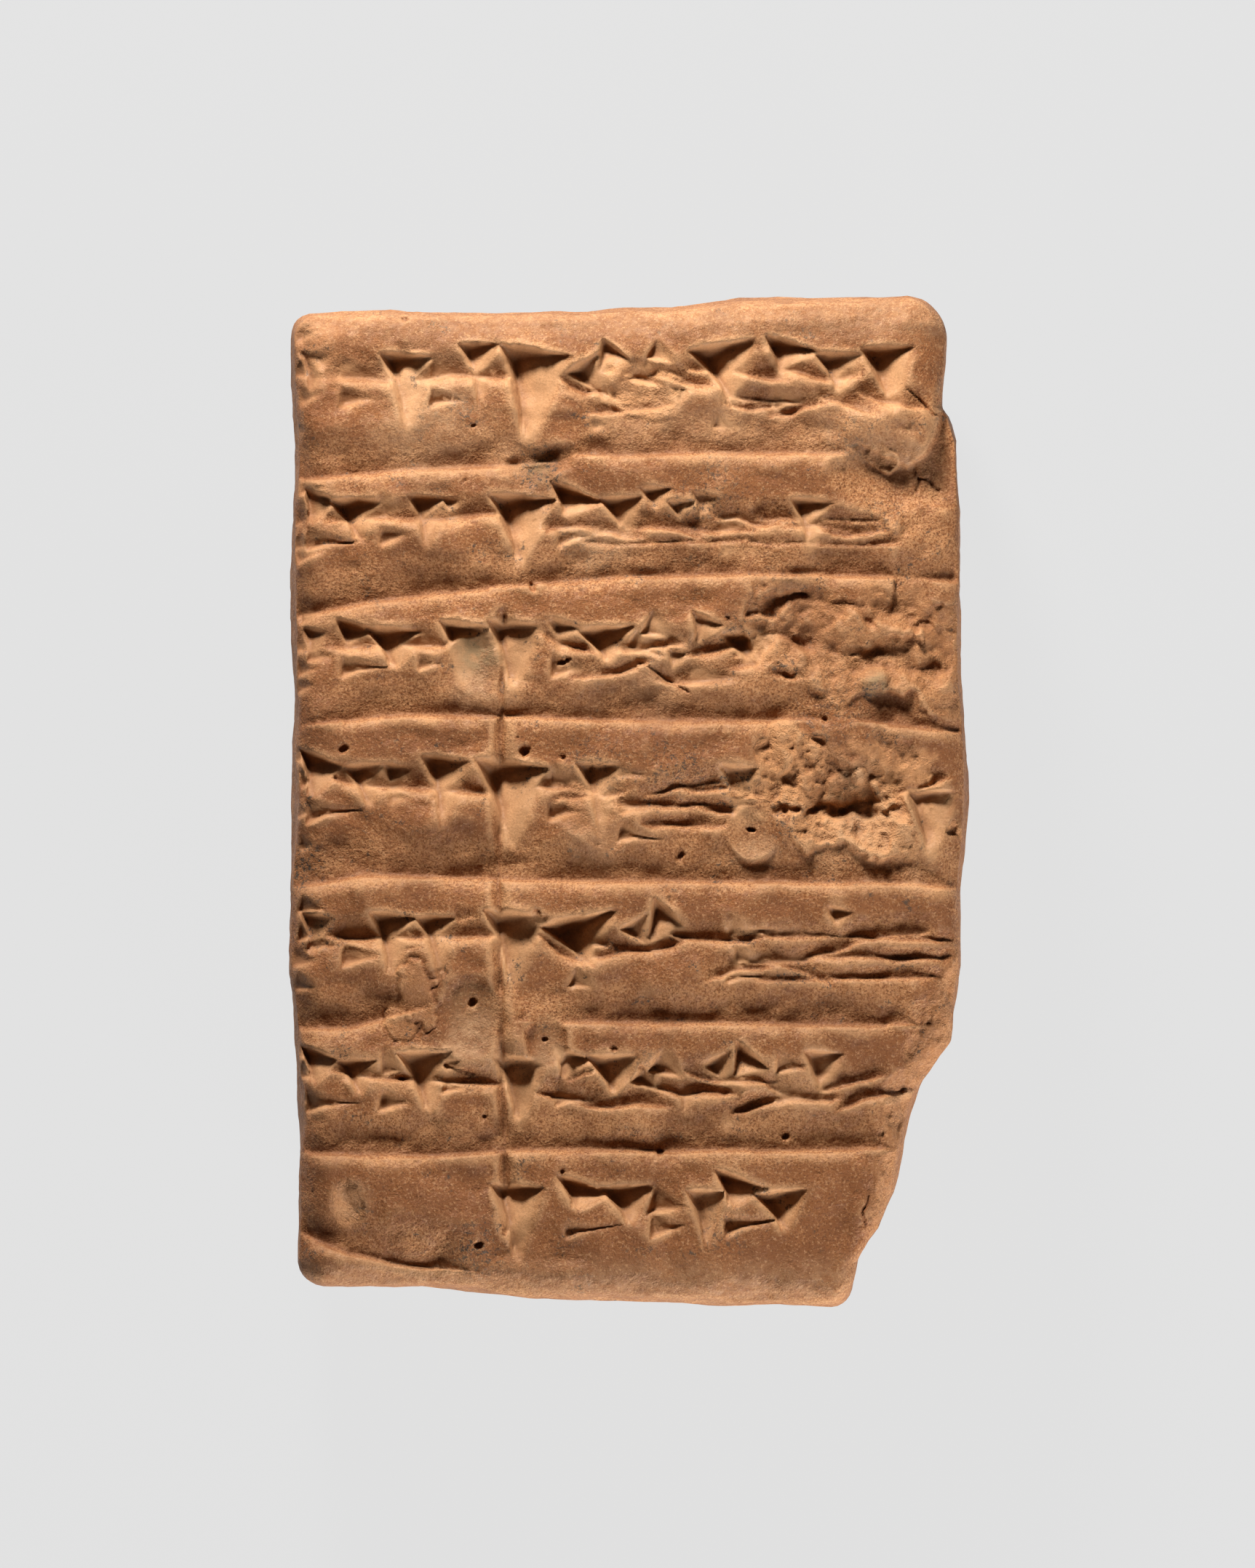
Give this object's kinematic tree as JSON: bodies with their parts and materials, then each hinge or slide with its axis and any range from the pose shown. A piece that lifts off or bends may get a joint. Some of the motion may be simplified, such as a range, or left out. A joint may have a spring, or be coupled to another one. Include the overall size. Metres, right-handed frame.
{
  "type": "cuneiform tablet",
  "caption": "Small cushion-shaped clay tablet with ruled rows of pressed wedge strokes, worn and broken at one corner, lying on its rounder back.",
  "frame": {"origin": "centre of the tablet's outline, on the surface that its back lies on", "axes": "+Z out of the inscribed front, +Y towards the first row of the writing, +X to the right of a reader"},
  "size_m": [0.0334, 0.05, 0.017],
  "materials": {
    "clay": "matte"
  },
  "bodies": {
    "root": {"tablet": "clay"}
  },
  "joints": []
}
